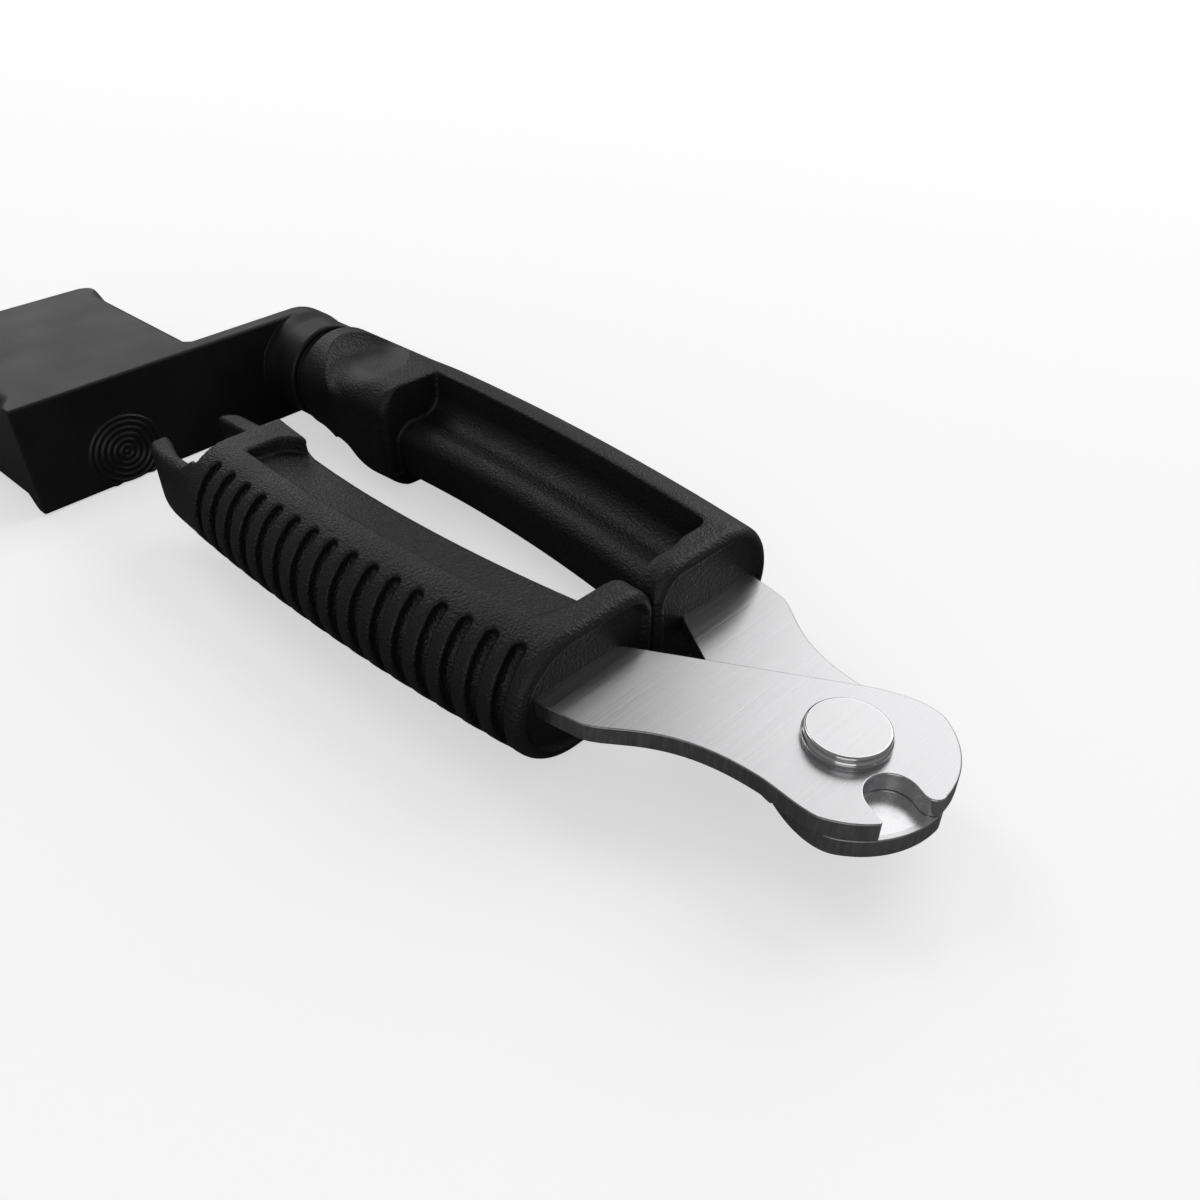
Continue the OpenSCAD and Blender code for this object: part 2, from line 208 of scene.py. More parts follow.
def crank_handle(x, y, z):
    """Grip, palm swell and neck."""
    axis = axis_y - (x - neck_face_x) * -math.tan(crank_tilt)
    back = ease(x, swell_x, trough_end_x)
    centre = axis + (spine(x) - axis) * back
    front = np.where(x < front_x, 0.0, 1.0)
    swell = ease(x, neck_face_x + 1, swell_x)
    swell_inner_y, swell_rise, swell_corner = 5.4, 0.35, 4.4
    inner_y = (axis - half_h) * (1 - swell) + (swell_inner_y + swell_rise * back) * swell
    inner_y = inner_y * (1 - front) + front_inner_y * front
    corner = half_h - (half_h - swell_corner) * swell
    section = bar_section(y, z, inner_y, corner, centre, half_h + (bar_r - half_h) * back)
    edge = 0.4 + 0.9 * ease(y, 9, 7)        # wider at the inner face
    solid = cut(section, hollows(x, y, z, trough_end_x, True), edge)
    solid = cut(solid, grooves(x, y, z), groove_edge_r)
    solid = dimple(solid, x, y, z)
    c, s = math.cos(crank_tilt), math.sin(crank_tilt)
    reach = (x - neck_face_x) * c + (y - axis_y) * s
    off = -(x - neck_face_x) * s + (y - axis_y) * c
    neck_edge_r, bore_edge_r = 1.2, 0.3
    solid = both(solid, -reach, neck_edge_r)
    bore = np.maximum(np.hypot(off, z) - bush_r, reach - bush_bore)
    return cut(collar(solid, section, x), bore, bore_edge_r)


def dimple(solid, x, y, z):
    """Oval thumb rests, above and below: steep at the neck, running out towards the grip."""
    mid_x, mid_y, turn = -97.4, 12.6, math.radians(-33)
    long_r, short_r, depth, wall_w = 9.4, 6.6, 2.6, 3.8
    dx, dy = x - mid_x, y - mid_y
    a = dx * math.cos(turn) + dy * math.sin(turn)
    b = -dx * math.sin(turn) + dy * math.cos(turn)
    inside = np.clip(1 - np.hypot(a / long_r, b / short_r), 0, 1) * short_r
    wall = 1 - (1 - np.clip(inside / wall_w, 0, 1)) ** 2
    lean = np.clip(0.6 - 0.55 * a / long_r - 0.12 * b / short_r, 0, 1)
    return solid + depth * lean * wall * ease(np.abs(z), 2.5, 5)


def fork_plan(x, y):
    """Plan of the bridge-pin fork: two claws, hooked at the tips, about a squarish seat."""
    outer_y, inner_y, taper_x, taper_len = 23.4, 8.3, -94, 8
    outer_taper, inner_taper = 1.9, 0.2
    back = np.maximum(taper_x - x, 0) / taper_len
    sides_r, inner_tip_r, outer_tip_r = 1.0, 2.6, 1.1
    outer, inner = y - outer_y + outer_taper * back ** 2, inner_y + inner_taper * back ** 2 - y
    outline = both(outer, inner, sides_r)
    outline = both(outline, fork_tip_x - x, np.where(y < 15, inner_tip_r, outer_tip_r))
    seat_x, seat_low_y, seat_high_y, hook = -88, 11.1, 20.9, 2.0
    seat_r, seat_corner_r = 0.9, 2.8
    seat_side = y - seat_high_y + hook * ease(x, -93, -102.5)
    seat = both(both(x - seat_x, seat_side, seat_r), seat_low_y - y, seat_corner_r)
    return cut(outline, seat, 0.05)


def fork_handle(x, y, z):
    """Grip and fork. Drawn crank side up, so the panel is underneath."""
    inner_y, corner = np.where(x < front_x, 4.0, front_inner_y), 4.2
    section = bar_section(y, z, inner_y, corner, spine(x), bar_r)
    solid = cut(section, hollows(x, y, z, panel_end_x, False), 0.4)
    solid = cut(solid, grooves(x, y, z), groove_edge_r)
    # side view of the claws: upper side, bent down to a point at the tips, and lower side
    ramp_len, power, tip_drop, tip_len = 14, 0.6, 3.4, 3.2
    tip_z, lower_slope, root_drop = 4.7, 0.065, 3.1
    out = np.clip((x - fork_tip_x) / ramp_len, 0.02, 1.2)
    rise = half_h * out ** power - tip_drop * ease(x, fork_tip_x + tip_len, fork_tip_x) ** 2
    steep = half_h * power / ramp_len * out ** (power - 1)
    above = (z - rise) / np.hypot(1, steep)
    below = -(tip_z + lower_slope * (x - fork_tip_x) + root_drop * ease(x, -91.2, -87.4)) - z
    wedge = both(above, below, 0.8)
    wedge = both(wedge, fork_plan(x, y), 0.7)
    beyond, well_inside = ease(x, -86.5, -88.5), -30
    solid = both(solid, wedge * beyond + well_inside * (1 - beyond), 0.7)
    return collar(solid, section, x)


def crank(x, y, z):
    """Hub, arm and socket head, in the crank's own frame: the arm's near face is x = 0."""
    side_y = head_mid_y + head_w / 2
    from_mid = np.abs(y - head_mid_y)
    # plan: head, arm and the fillet between them
    corner_r, fillet_r = 2.5, 4
    along = np.abs(x + head_len / 2) - head_len / 2
    head_plan = both(along, from_mid - head_w / 2, np.where(x < -20, corner_r, 0.01))
    arm_plan = np.maximum(np.maximum(x, -arm_t - x), np.maximum(y - 20, side_y - 6 - y))
    fillet = np.hypot(x + arm_t + fillet_r, y - side_y - fillet_r) - fillet_r
    web_x = np.maximum(-arm_t - fillet_r - x, x + arm_t)
    web = np.maximum(web_x, np.maximum(side_y - y, y - side_y - fillet_r))
    plan = np.minimum(np.minimum(head_plan, arm_plan), np.maximum(web, -fillet))
    # top and bottom: flat, and round about the crank's axis at the hub's end
    ends = np.hypot(np.maximum(y, 0), z) - half_h
    beside = np.where(from_mid > 8, 1.0, 0.0)
    least_r, more_r = 0.35, 2.6         # the head's long edges are rounder away from its two ends
    away = ease(x, -1.5, -5) * ease(x, -head_len + 1, -head_len + 7)
    top_r = least_r + more_r * away * beside
    solid = both(plan, ends, top_r)
    # hub, flared to the arm, and the spigot that faces the neck
    radius = np.hypot(y, z)
    flare_len, lip_r = 3.2, 0.45
    hub_line = hub_r + (half_h - hub_r) * (1 - ease(x, 0, flare_len))
    hub = both(both(radius - hub_line, x - lip_x, lip_r), -x - 1, 0.01)
    spigot = np.maximum(np.maximum(radius - spigot_r, x - spigot_x), -x)
    solid = np.minimum(solid, np.minimum(hub, spigot))
    # socket for the peg's button, flared at its mouth
    mouth_len, mouth_flare, pocket_r, floor_r, mouth_r = 3, 1.5, 2.0, 1.0, 0.8
    flare = mouth_flare * ease(-x, head_len - mouth_len, head_len)
    pocket = both(from_mid - socket_w / 2, np.abs(z) - socket_h / 2 - flare, pocket_r)
    pocket = both(pocket, x + head_len - socket_depth, floor_r)
    solid = cut(solid, pocket, mouth_r)
    # finger rings on the arm's near face
    rings_y, rings_z, rings_pitch, rings_depth = head_mid_y - 1.0, -3.6, 0.95, 0.26
    rings = np.hypot(y - rings_y, z - rings_z)
    wave = 0.5 + 0.5 * np.cos(2 * math.pi * rings / rings_pitch)
    near_face = ease(x, -1.2, -0.6) * ease(np.abs(x), 0.9, 0.5)
    solid = solid - rings_depth * wave * ease(rings, 6.1, 5.7) * near_face
    solid = np.maximum(solid, np.abs(z) - half_h)
    return np.maximum(solid, -np.maximum(radius - spindle_r, -x - spindle_depth))


# ---- meshes ----

def gradient(field, p, h=0.02):
    """Centred differences of a field at points p."""
    out = np.empty_like(p)
    for k in range(3):
        step = np.zeros(3)
        step[k] = h
        out[:, k] = (field(*(p + step).T) - field(*(p - step).T)) / (2 * h)
    return out


def surface_of(field, xs, ys, zs):
    """Points, quads and normals of the zero surface of a field sampled on the grid xs, ys, zs.

    Each cell that the surface crosses gets one point, the mean of its crossings, then moved on to
    the surface along the gradient. Each grid edge that the surface crosses gets one quad.
    """
    f = field(*np.meshgrid(xs, ys, zs, indexing="ij"))
    inside = f < 0
    n = [s - 1 for s in f.shape]
    filled = np.zeros(n, np.int8)
    corners = [(a, b, c) for a in (0, 1) for b in (0, 1) for c in (0, 1)]
    for a, b, c in corners:
        filled += inside[a:a + n[0], b:b + n[1], c:c + n[2]]
    i, j, k = np.nonzero((filled > 0) & (filled < 8))
    index = np.full(n, -1)
    index[i, j, k] = np.arange(len(i))
    points, hits = np.zeros((len(i), 3)), np.zeros(len(i))
    for s in corners:
        for axis in range(3):
            if s[axis]:
                continue
            e = tuple(1 if q == axis else s[q] for q in range(3))
            f0 = f[i + s[0], j + s[1], k + s[2]]
            f1 = f[i + e[0], j + e[1], k + e[2]]
            crossed = (f0 < 0) != (f1 < 0)
            t = np.where(crossed, f0 / np.where(crossed, f0 - f1, 1), 0)
            p0 = np.stack([xs[i + s[0]], ys[j + s[1]], zs[k + s[2]]], 1)
            p1 = np.stack([xs[i + e[0]], ys[j + e[1]], zs[k + e[2]]], 1)
            points += np.where(crossed[:, None], p0 + (p1 - p0) * t[:, None], 0)
            hits += crossed
    points /= hits[:, None]
    most = 0.15
    for _ in range(3):
        g = gradient(field, points)
        move = -(field(*points.T) / np.maximum((g * g).sum(1), 0.1))[:, None] * g
        points += np.clip(move, -most, most)
    g = gradient(field, points)
    normals = g / np.maximum(np.linalg.norm(g, axis=1), 1e-6)[:, None]
    quads = []
    for axis, flip in ((0, False), (1, True), (2, False)):
        others = [q for q in range(3) if q != axis]
        low = np.take(inside, range(0, f.shape[axis] - 1), axis)
        high = np.take(inside, range(1, f.shape[axis]), axis)
        at = np.stack(np.nonzero(low != high), 1)
        at = at[(at[:, others[0]] > 0) & (at[:, others[1]] > 0)]
        at = at[(at[:, others[0]] < n[others[0]]) & (at[:, others[1]] < n[others[1]])]
        outward = low[tuple(at.T)]
        ring = []
        for da, db in ((1, 1), (0, 1), (0, 0), (1, 0)):
            cell = at.copy()
            cell[:, others[0]] -= da
            cell[:, others[1]] -= db
            ring.append(index[tuple(cell.T)])
        ring = np.stack(ring, 1)
        ring[outward == flip] = ring[outward == flip][:, ::-1]
        quads.append(ring)
    return points, np.concatenate(quads), normals


def make(name, points, faces, normals, materials, face_material=None):
    """A smooth-shaded mesh object from points in mm about the pivot, with its own normals."""
    mesh = bpy.data.meshes.new(name)
    place = np.array(PIVOT) + np.asarray(points, float) * MM
    mesh.from_pydata(place.tolist(), [], [list(map(int, f)) for f in faces])
    for m in materials:
        mesh.materials.append(m)
    if face_material is not None:
        mesh.polygons.foreach_set("material_index", np.asarray(face_material, np.int32))
    mesh.polygons.foreach_set("use_smooth", np.ones(len(mesh.polygons), bool))
    mesh.normals_split_custom_set_from_vertices([tuple(v) for v in normals])
    mesh.update()
    o = bpy.data.objects.new(name, mesh)
    bpy.context.scene.collection.objects.link(o)
    return o


def grid(low, high, step):
    return np.arange(low, high + step, step)


def turn_over(v):
    """Turned half a turn about X, which makes one side's pattern into the other side's."""
    return v * np.array([1, -1, -1])


def turn_crank(v):
    """Directions in the crank's own frame, in the pivot frame."""
    c, s = math.cos(crank_tilt), math.sin(crank_tilt)
    return np.stack([v[:, 0] * c - v[:, 1] * s, v[:, 0] * s + v[:, 1] * c, v[:, 2]], 1)


def place_crank(points):
    """Points in the crank's own frame, in the pivot frame."""
    x0 = neck_face_x - arm_gap * math.cos(crank_tilt)
    y0 = axis_y - arm_gap * math.sin(crank_tilt)
    return turn_crank(points) + np.array([x0, y0, 0])


CELL = 0.32      # of the sampling grids


def handle_piece(name, field, rear_x, over):
    """A handle from its field. The grid reaches past the handle on every side."""
    xs, ys, zs = grid(rear_x - 1, -24.6, CELL), grid(-0.8, 25.4, CELL), grid(-9.1, 9.1, CELL)
    points, quads, normals = surface_of(field, xs, ys, zs)
    if over:
        points, normals = turn_over(points), turn_over(normals)
    return make(name, points, quads, normals, [grip_plastic()])


def crank_piece():
    """The crank's moulding. The grid is finest over the finger rings."""
    fine, coarse = CELL / 1.6, CELL * 1.4
    xs = np.concatenate([grid(-39.2, -6.4, coarse), grid(-5.9, 9.3, CELL)])
    ys = np.concatenate([grid(-49.3, -40.6, coarse), grid(-40, -27.4, fine), grid(-27, 9.3, CELL)])
    zs = np.concatenate([grid(-9.2, 2.8, fine), grid(3.1, 9.2, CELL)])
    points, quads, normals = surface_of(crank, xs, ys, zs)
    points, normals = place_crank(points), turn_crank(normals)
    return make("crank_moulding", points, quads, normals, [crank_plastic()])


# ---- steel ----

def arc(r, a0, a1, n):
    """Points of an arc about the origin, n steps from angle a0 to a1, with its ends."""
    angles = [a0 + (a1 - a0) * i / n for i in range(n + 1)]
    return [(r * math.cos(a), r * math.sin(a)) for a in angles]


def curve(a, b, c, d, n):
    """Points of a smooth curve from a to d with handles b and c, without its ends."""
    out = []
    for i in range(1, n):
        t, s = i / n, 1 - i / n
        out.append(tuple(s ** 3 * p + 3 * s * s * t * q + 3 * s * t * t * u + t ** 3 * v
                         for p, q, u, v in zip(a, b, c, d)))
    return out


def mouth_corner(r, side):
    """Round corner on one side of the notch's mouth, from its wall to the disc.

    Each point is (x, y, its angle about the pivot).
    """
    cy = notch_r + r
    cx = math.sqrt((jaw_r - r) ** 2 - cy ** 2)
    turn = math.atan2(cy, cx) + math.pi / 2
    points, steps = [], 8
    for i in range(steps + 1):
        t = turn * i / steps - math.pi / 2
        x, y = cx + r * math.cos(t), side * (cy + r * math.sin(t))
        points.append((x, y, notch_angle + math.atan2(y, x)))
    return points


def jaw_outline():
    """A jaw's outline, crank side, anticlockwise from the notch, and how many points the notch has.

    The notch's points are the last ones.
    """
    disc_a, disc_b = math.radians(70), math.radians(-59.5)
    shoulder, neck_out, neck_in = (-20.5, 17.1), (-3, 10.15), (-3.6, -7.7)
    start = (jaw_r * math.cos(disc_a), jaw_r * math.sin(disc_a))
    end = (jaw_r * math.cos(disc_b), jaw_r * math.sin(disc_b))
    outer_r, inner_r = 0.35, 1.2
    outer = mouth_corner(outer_r, 1)
    body = arc(jaw_r, outer[-1][2], disc_a, 24)
    body += curve(start, (1.6, 10.7), (-1, 10.1), neck_out, 10) + [neck_out]
    body += curve(neck_out, (-14.5, 10.4), (-17, 16.2), shoulder, 28) + [shoulder]
    tang = [(-30, 17.4), (-33, 17.2), (-33, 9.0), (-30, 8.6)]
    body += [(jaw_rear_x, 18)] + tang + [(jaw_rear_x, 5), neck_in]
    body += curve(neck_in, (0.6, -10.1), (3.8, -10.5), end, 14)
    inner = mouth_corner(inner_r, -1)
    body += arc(jaw_r, disc_b, inner[-1][2], 48)[:-1]
    c, s = math.cos(notch_angle), math.sin(notch_angle)
    seat = [p[:2] for p in inner[::-1]]
    half_turn = arc(notch_r, math.radians(-90), math.radians(-270), 36)
    seat += [(notch_reach + x, y) for x, y in half_turn]
    seat += [p[:2] for p in outer[:-1]]
    notch = [(x * c - y * s, x * s + y * c) for x, y in seat]
    return body + notch, len(notch)


def inside(p, outline):
    """Whether a point lies inside a closed outline."""
    a, b = outline, np.roll(outline, -1, 0)
    spans = (a[:, 1] > p.y) != (b[:, 1] > p.y)
    a, b = a[spans], b[spans]
    crossing = a[:, 0] + (p.y - a[:, 1]) * (b[:, 0] - a[:, 0]) / (b[:, 1] - a[:, 1])
    return np.count_nonzero(p.x < crossing) % 2 == 1


PLATE, EDGE, NOTCH, RUBBED = range(4)       # the order of a jaw's materials


def jaw_piece(name, upper):
    """A jaw plate with a fine bevel round its outline and its notch, and a plain bore."""
    outline, notch_n = jaw_outline()
    outline = np.array(outline)
    n = len(outline)
    ahead, behind = np.roll(outline, -1, 0) - outline, outline - np.roll(outline, 1, 0)
    ahead /= np.linalg.norm(ahead, axis=1)[:, None]
    behind /= np.linalg.norm(behind, axis=1)[:, None]
    outward = np.stack([ahead[:, 1] + behind[:, 1], -ahead[:, 0] - behind[:, 0]], 1)
    outward /= np.linalg.norm(outward, axis=1)[:, None]
    stretch = 1 / np.maximum((outward * np.stack([ahead[:, 1], -ahead[:, 0]], 1)).sum(1), 0.5)
    bevel, steps = 0.16, 4
    rubbed_r, rubbed_n = 10.4, 96
    bore_r, bore_n = shank_r + 0.02, 48
    low, high = -jaw_t - face_gap, -face_gap
    points, normals, faces, kinds, rings = [], [], [], [], []

    def ring(inset, z, tilt):
        rings.append(len(points))
        for p, o, s in zip(outline, outward, stretch):
            points.append((*(p - o * s * inset), z))
            normals.append((*(o * math.cos(tilt)), math.sin(tilt)))

    for i in range(steps + 1):
        t = math.pi / 2 * (1 - i / steps)
        ring(bevel * (1 - math.cos(t)), low + bevel * (1 - math.sin(t)), -t)
    for i in range(steps + 1):
        t = math.pi / 2 * i / steps
        ring(bevel * (1 - math.cos(t)), high - bevel * (1 - math.sin(t)), t)
    for a, b in zip(rings, rings[1:]):
        for i in range(n):
            j = (i + 1) % n
            faces.append((a + i, a + j, b + j, b + i))
            kinds.append(NOTCH if i >= n - notch_n - 1 else EDGE)
    for z, start, up in ((low, rings[0], -1), (high, rings[-1], 1)):
        hole = len(points)
        for x, y in arc(bore_r, 0, 2 * math.pi, bore_n)[:-1]:
            points.append((x, y, z))
            normals.append((0, 0, up))
        loop = list(range(start, start + n)) + list(range(hole, hole + bore_n))
        edges = [(i, (i + 1) % n) for i in range(n)]
        edges += [(n + i, n + (i + 1) % bore_n) for i in range(bore_n)]
        if up > 0:
            at = len(loop)
            for x, y in arc(rubbed_r, 0, 2 * math.pi, rubbed_n)[:-1]:
                loop.append(len(points))
                points.append((x, y, z))
                normals.append((0, 0, up))
            edges += [(at + i, at + (i + 1) % rubbed_n) for i in range(rubbed_n)]
        flat = [Vector(points[v][:2]) for v in loop]
        placed, _, triangles, origin, _, _ = delaunay_2d_cdt(flat, edges, [], 1, 1e-6)
        ids = []
        for v, p in enumerate(placed):
            if origin[v]:
                ids.append(loop[origin[v][0]])
            else:
                ids.append(len(points))
                points.append((p.x, p.y, z))
                normals.append((0, 0, up))
        for tri in triangles:
            middle = sum((placed[v] for v in tri), Vector((0, 0))) / 3
            if middle.length > shank_r and inside(middle, outline):
                faces.append(tuple(ids[v] for v in (tri if up > 0 else reversed(tri))))
                kinds.append(RUBBED if up > 0 and middle.length < rubbed_r else PLATE)
    wall = len(points)
    for z in (low, high):
        for x, y in arc(bore_r, 0, 2 * math.pi, bore_n)[:-1]:
            points.append((x, y, z))
            normals.append((-x / shank_r, -y / shank_r, 0))
    for i in range(bore_n):
        j = (i + 1) % bore_n
        faces.append((wall + j, wall + i, wall + bore_n + i, wall + bore_n + j))
        kinds.append(EDGE)
    points, normals = np.array(points), np.array(normals)
    if upper:
        points, normals = turn_over(points), turn_over(normals)
    finishes = [steel(f) for f in ("plate_steel", "edge_steel", "notch_steel", "rubbed_steel")]
    return make(name, points, faces, normals, finishes, kinds)


def lathe(name, profile, materials, kinds):
    """A turned piece about the pivot, closed by a flat cap at each end.

    The profile runs from bottom to top and holds (radius, z, angle of the normal above level).
    """
    segments = 128
    points, normals, faces, face_kinds = [], [], [], []
    for r, z, a in profile:
        for s in range(segments):
            t = 2 * math.pi * s / segments
            points.append((r * math.cos(t), r * math.sin(t), z))
            normals.append((math.cos(a) * math.cos(t), math.cos(a) * math.sin(t), math.sin(a)))
    for k in range(len(profile) - 1):
        for s in range(segments):
            t = (s + 1) % segments
            a, b = k * segments, (k + 1) * segments
            faces.append((a + s, a + t, b + t, b + s))
            face_kinds.append(kinds[k])
    for k, up in ((0, False), (len(profile) - 1, True)):
        centre = len(points)
        points.append((0, 0, profile[k][1]))
        normals.append((0, 0, 1 if up else -1))
        a = k * segments
        for s in range(segments):
            t = (s + 1) % segments
            faces.append((a + s, a + t, centre) if up else (a + t, a + s, centre))
            face_kinds.append(kinds[-1] if up else kinds[0])
    return make(name, points, faces, normals, materials, face_kinds)


def rivet_piece():
    """Button head with a brushed flat top and a polished round rim, shank and formed tail."""
    washer_t = 0.6
    top = jaw_t + 2 * face_gap
    under = -jaw_t - face_gap - washer_t
    tail_h, tail_r, tail_rim = 1.1, 3.9, 0.5
    root_r, root_h = 4.3, 0.12
    band_r, band_h = 0.55, 0.62
    waist_r, waist_h, waist_len = root_r + 0.04, 1.08, 0.08
    shoulder_r, shoulder_in, top_in = 0.3, 0.18, 0.2
    cap_r = 0.6                 # of the flat caps at the axis
    down, out, up = -math.pi / 2, 0.0, math.pi / 2
    brushed, polished = 0, 1
    profile, kinds = [], []

    def add(kind, *points):
        for p in points:
            profile.append(p)
            kinds.append(kind)

    def rounded(r, z, radius, a0, a1):
        steps = 8
        for i in range(steps + 1):
            a = math.radians(a0 + (a1 - a0) * i / steps)
            add(polished, (r + radius * math.cos(a), z + radius * math.sin(a), a))

    tail_flat_r = tail_r - tail_rim
    add(brushed, (cap_r, under - tail_h, down), (tail_flat_r, under - tail_h, down))
    rounded(tail_flat_r, under - tail_h + tail_rim, tail_rim, -90, 0)
    add(polished, (tail_r, under, out), (tail_r, under, up))
    add(polished, (shank_r, under, up), (shank_r, under, out))
    add(polished, (shank_r, top, out), (shank_r, top, down), (root_r, top, down))
    add(polished, (root_r, top, out), (root_r, top + root_h, out))
    rounded(head_r - band_r, top + band_h, band_r, -60, 55)
    add(polished, (waist_r, top + waist_h, out), (waist_r, top + waist_h + waist_len, out))
    rounded(head_r - shoulder_in - shoulder_r, top + head_h - shoulder_r, shoulder_r, -10, 90)
    add(brushed, (head_r - top_in - shoulder_r, top + head_h, up), (cap_r, top + head_h, up))
    return lathe("rivet", profile, [steel("rivet_steel"), steel("polished_steel")], kinds)


# ---- materials ----

made = {}


def material(name, build):
    """The material of that name, built once by build(nodes, links, shader)."""
    if name not in made:
        m = bpy.data.materials.new(name)
        m.use_nodes = True
        build(m.node_tree.nodes, m.node_tree.links, m.node_tree.nodes["Principled BSDF"])
        made[name] = m
    return made[name]


def spread(nodes, links, scale):
    """Object coordinates multiplied by scale on each axis."""
    coords = nodes.new("ShaderNodeTexCoord")
    mapping = nodes.new("ShaderNodeMapping")
    mapping.inputs["Scale"].default_value = scale
    links.new(coords.outputs["Object"], mapping.inputs["Vector"])
    return mapping.outputs["Vector"]


def noise(nodes, links, vector, scale, detail=3, rough=0.5):
    """Fractal noise, about 0.3 to 0.7."""
    n = nodes.new("ShaderNodeTexNoise")
    n.inputs["Scale"].default_value = scale
    n.inputs["Detail"].default_value = detail
    n.inputs["Roughness"].default_value = rough
    links.new(vector, n.inputs["Vector"])
    return n.outputs["Fac"]


def between(nodes, links, value, low, high, at0=0.3, at1=0.7):
    """low where the value is at0, high where it is at1."""
    r = nodes.new("ShaderNodeMapRange")
    r.inputs["From Min"].default_value = at0
    r.inputs["From Max"].default_value = at1
    r.inputs["To Min"].default_value = low
    r.inputs["To Max"].default_value = high
    links.new(value, r.inputs["Value"])
    return r.outputs["Result"]


def total(nodes, links, a, b, weight):
    """a plus weight times b."""
    m = nodes.new("ShaderNodeMath")
    m.operation = "MULTIPLY_ADD"
    links.new(b, m.inputs[0])
    m.inputs[1].default_value = weight
    links.new(a, m.inputs[2])
    return m.outputs[0]


def shade(nodes, links, value, dark, light, blue):
    """A colour from grey dark to grey light, each with a little more blue."""
    ramp = nodes.new("ShaderNodeValToRGB")
    for stop, at, grey in zip(ramp.color_ramp.elements, (0.3, 0.7), (dark, light)):
        stop.position = at
        stop.color = (grey, grey, grey + blue, 1)
    links.new(value, ramp.inputs["Fac"])
    return ramp.outputs["Color"]


def bump(nodes, links, height, distance):
    """Surface relief; distance in metres."""
    b = nodes.new("ShaderNodeBump")
    b.inputs["Distance"].default_value = distance
    b.inputs["Strength"].default_value = 1
    links.new(height, b.inputs["Height"])
    return b.outputs["Normal"]


PLASTIC_BLUE, STEEL_BLUE = 0.001, 0.01


def grip_plastic():
    """Near-black moulded plastic with a fine leather-like stipple."""
    def build(nodes, links, shader):
        at = spread(nodes, links, (1, 1, 1))
        cells = nodes.new("ShaderNodeTexVoronoi")
        cells.feature = "SMOOTH_F1"
        cells.inputs["Scale"].default_value = 3200
        links.new(at, cells.inputs["Vector"])
        wrinkle = noise(nodes, links, at, 2800, 3, 0.6)
        grain = total(nodes, links, wrinkle, cells.outputs["Distance"], 0.8)
        patches = noise(nodes, links, at, 160, 2)
        links.new(bump(nodes, links, grain, 0.00012), shader.inputs["Normal"])
        links.new(between(nodes, links, patches, 0.37, 0.47), shader.inputs["Roughness"])
        colour = shade(nodes, links, wrinkle, 0.007, 0.013, PLASTIC_BLUE)
        links.new(colour, shader.inputs["Base Color"])
    return material("grip_plastic", build)


def crank_plastic():
    """Smoother satin black plastic."""
    def build(nodes, links, shader):
        at = spread(nodes, links, (1, 1, 1))
        fine = noise(nodes, links, at, 2600, 2)
        patches = noise(nodes, links, at, 120, 3)
        links.new(bump(nodes, links, fine, 0.00002), shader.inputs["Normal"])
        links.new(between(nodes, links, patches, 0.4, 0.48), shader.inputs["Roughness"])
        colour = shade(nodes, links, patches, 0.008, 0.012, PLASTIC_BLUE)
        links.new(colour, shader.inputs["Base Color"])
    return material("crank_plastic", build)


def bearing_plastic():
    """Black acetal of the bush and the thrust washer."""
    def build(nodes, links, shader):
        at = spread(nodes, links, (1, 1, 1))
        mottle = noise(nodes, links, at, 900, 3)
        links.new(bump(nodes, links, mottle, 0.00001), shader.inputs["Normal"])
        links.new(between(nodes, links, mottle, 0.4, 0.5), shader.inputs["Roughness"])
        colour = shade(nodes, links, mottle, 0.012, 0.018, PLASTIC_BLUE)
        links.new(colour, shader.inputs["Base Color"])
    return material("bearing_plastic", build)


# Streaks per metre on each axis, roughness from and to, grey from and to, bump depth in metres.
STEELS = {
    "plate_steel": ((5000, 60, 300), (0.26, 0.38), (0.56, 0.68), 0.000004),       # ground along Y
    "edge_steel": ((2500, 2500, 250), (0.3, 0.45), (0.34, 0.5), 0.000005),        # sheared along Z
    "notch_steel": ((400, 400, 400), (0.14, 0.2), (0.64, 0.72), 0.0000003),
    "rubbed_steel": ((1500, 1500, 1500), (0.2, 0.3), (0.62, 0.72), 0.000002),     # blade on blade
    "rivet_steel": ((5000, 80, 300), (0.28, 0.38), (0.6, 0.7), 0.000003),         # brushed along Y
    "polished_steel": ((900, 900, 900), (0.1, 0.16), (0.66, 0.72), 0.000001),
    "spindle_steel": ((400, 4000, 4000), (0.25, 0.35), (0.4, 0.5), 0.000003),     # drawn along X
}


def steel(name):
    """The steel of that name in STEELS."""
    scale, rough, grey, depth = STEELS[name]

    def build(nodes, links, shader):
        shader.inputs["Metallic"].default_value = 1
        streaks = noise(nodes, links, spread(nodes, links, scale), 1, 4, 0.6)
        links.new(bump(nodes, links, streaks, depth), shader.inputs["Normal"])
        links.new(between(nodes, links, streaks, *rough), shader.inputs["Roughness"])
        links.new(shade(nodes, links, streaks, *grey, STEEL_BLUE), shader.inputs["Base Color"])
    return material(name, build)


# ---- the object ----

def put(piece, body, node):
    """A detailed piece in place of a CAD node."""
    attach(piece, body)
    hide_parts(node)


def dress(node, finish):
    """A CAD node that stays as it is, with a finished material."""
    mesh = frame["nodes"][node].data
    mesh.materials.clear()
    mesh.materials.append(finish)


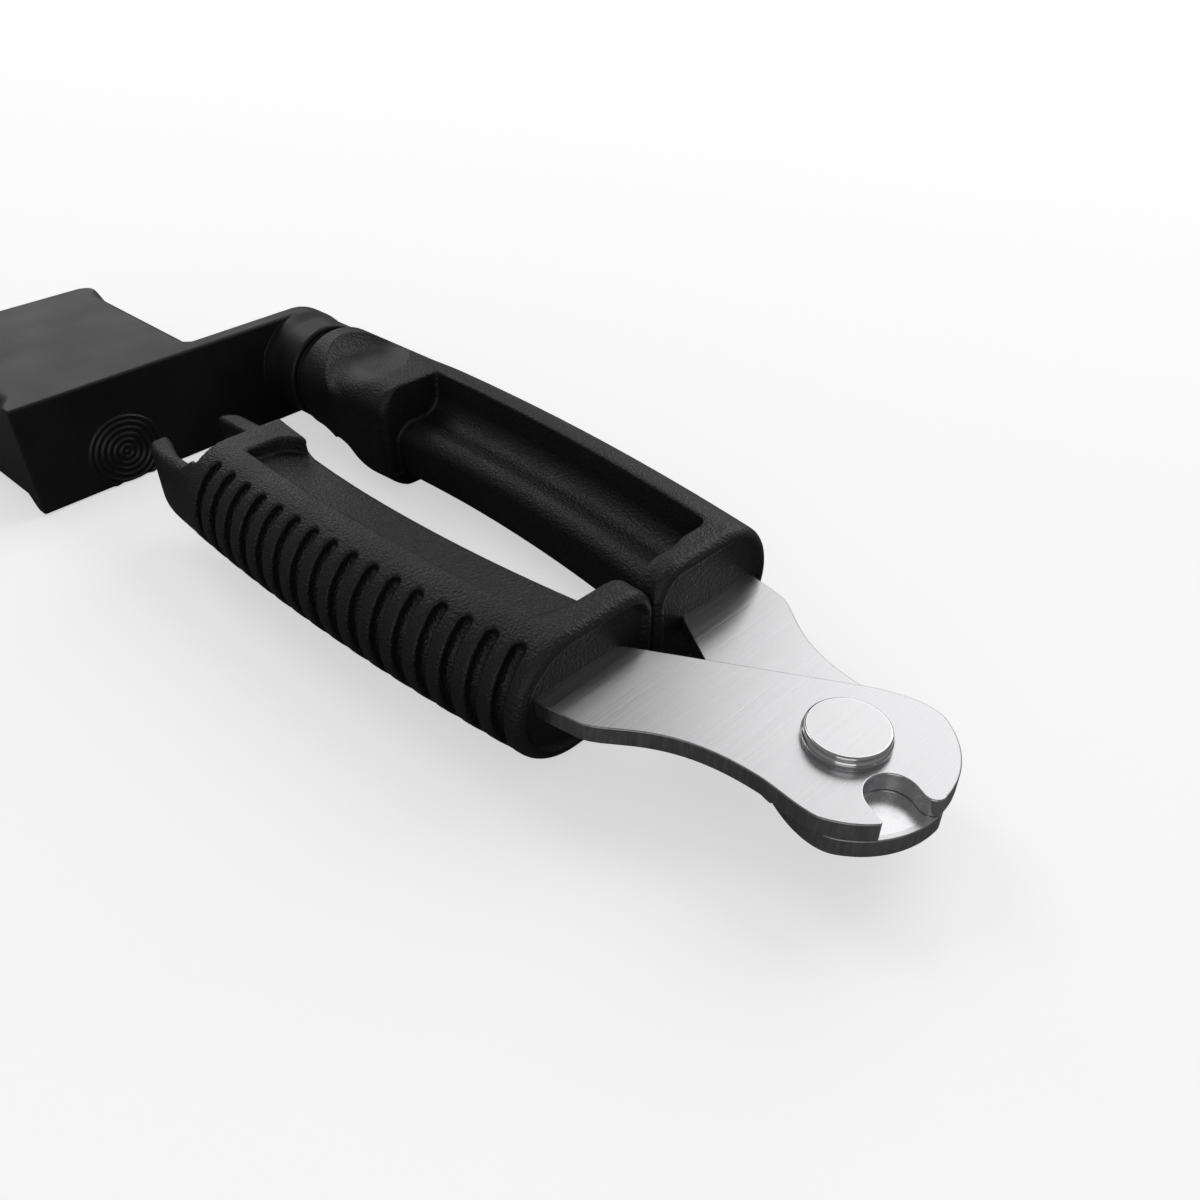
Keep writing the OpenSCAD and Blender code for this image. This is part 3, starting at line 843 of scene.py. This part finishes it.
crank_grip = handle_piece("crank_handle_moulding", crank_handle, neck_face_x, False)
fork_grip = handle_piece("fork_handle_moulding", fork_handle, fork_tip_x, True)
put(crank_grip, "crank_side", "crank_handle")
put(fork_grip, "fork_side", "fork_handle")
put(crank_piece(), "crank", "crank_arm")
put(jaw_piece("lower_jaw_blade", False), "crank_side", "lower_jaw")
put(jaw_piece("upper_jaw_blade", True), "fork_side", "upper_jaw")
put(rivet_piece(), "crank_side", "pivot_rivet")
dress("pivot_washer", steel("polished_steel"))
dress("crank_spindle", steel("spindle_steel"))
dress("retaining_ring", steel("spindle_steel"))
dress("spindle_bush", bearing_plastic())
dress("thrust_washer", bearing_plastic())


# ---- stage ----

def seen(nodes, links, to_camera, to_rest):
    """One value for what the camera sees of the stage, another for the light sent to the object."""
    path = nodes.new("ShaderNodeLightPath")
    return between(nodes, links, path.outputs["Is Camera Ray"], to_rest, to_camera, 0, 1)


def floor():
    """Pale to the eye, and dark to the object, as under studio flags."""
    mesh = bpy.data.meshes.new("floor")
    half, gap = 6, 0.0002
    corners = [(-half, -half, 0), (half, -half, 0), (half, half, 0), (-half, half, 0)]
    mesh.from_pydata(corners, [], [(0, 1, 2, 3)])
    o = bpy.data.objects.new("floor", mesh)
    o.location.z = cad_box[0].z - gap
    bpy.context.scene.collection.objects.link(o)

    def build(nodes, links, shader):
        links.new(seen(nodes, links, 0.85, 0.22), shader.inputs["Base Color"])
        links.new(seen(nodes, links, 0.55, 0), shader.inputs["Emission Strength"])
        shader.inputs["Emission Color"].default_value = (1, 1, 1, 1)
        shader.inputs["Roughness"].default_value = 0.9
        shader.inputs["Specular IOR Level"].default_value = 0.1
    mesh.materials.append(material("floor", build))


def softbox(name, at, size, power):
    """A rectangular light at a point, turned to the origin. Metres and watts."""
    light = bpy.data.lights.new(name, "AREA")
    light.shape = "RECTANGLE"
    light.size, light.size_y = size
    light.energy = power
    o = bpy.data.objects.new(name, light)
    o.location = at
    o.rotation_euler = (-Vector(at)).to_track_quat("-Z", "Y").to_euler()
    bpy.context.scene.collection.objects.link(o)


def world(strength):
    """White behind the object, and a dim even room for the light."""
    w = bpy.data.worlds.new("studio")
    w.use_nodes = True
    nodes, links = w.node_tree.nodes, w.node_tree.links
    nodes["Background"].inputs["Color"].default_value = (1, 1, 1, 1)
    links.new(seen(nodes, links, 1, strength), nodes["Background"].inputs["Strength"])
    bpy.context.scene.world = w


def camera():
    """The view, fitted in the row frame. Metres, millimetres of lens, degrees."""
    data = bpy.data.cameras.new("camera")
    data.sensor_width = 36
    data.lens = 31.335
    data.clip_start, data.clip_end = 0.005, 20
    o = bpy.data.objects.new("camera", data)
    o.location = (0.10696, -0.06413, 0.08424)
    o.rotation_euler = (math.radians(52.73), 0, math.radians(44.64))
    bpy.context.scene.collection.objects.link(o)
    bpy.context.scene.camera = o


floor()
world(0.2)
softbox("back", (-0.1, 1.03, 0.72), (1.05, 1.1), 5.0)
softbox("left_low", (-1.3, 0.4, 0.4), (0.8, 0.5), 1.1)
softbox("left_high", (-0.98, 0.08, 1.0), (0.5, 0.5), 1.7)
softbox("fill", (0.7, -0.9, 0.4), (0.9, 0.7), 1.7)
camera()
bpy.context.scene.view_settings.view_transform = "Standard"
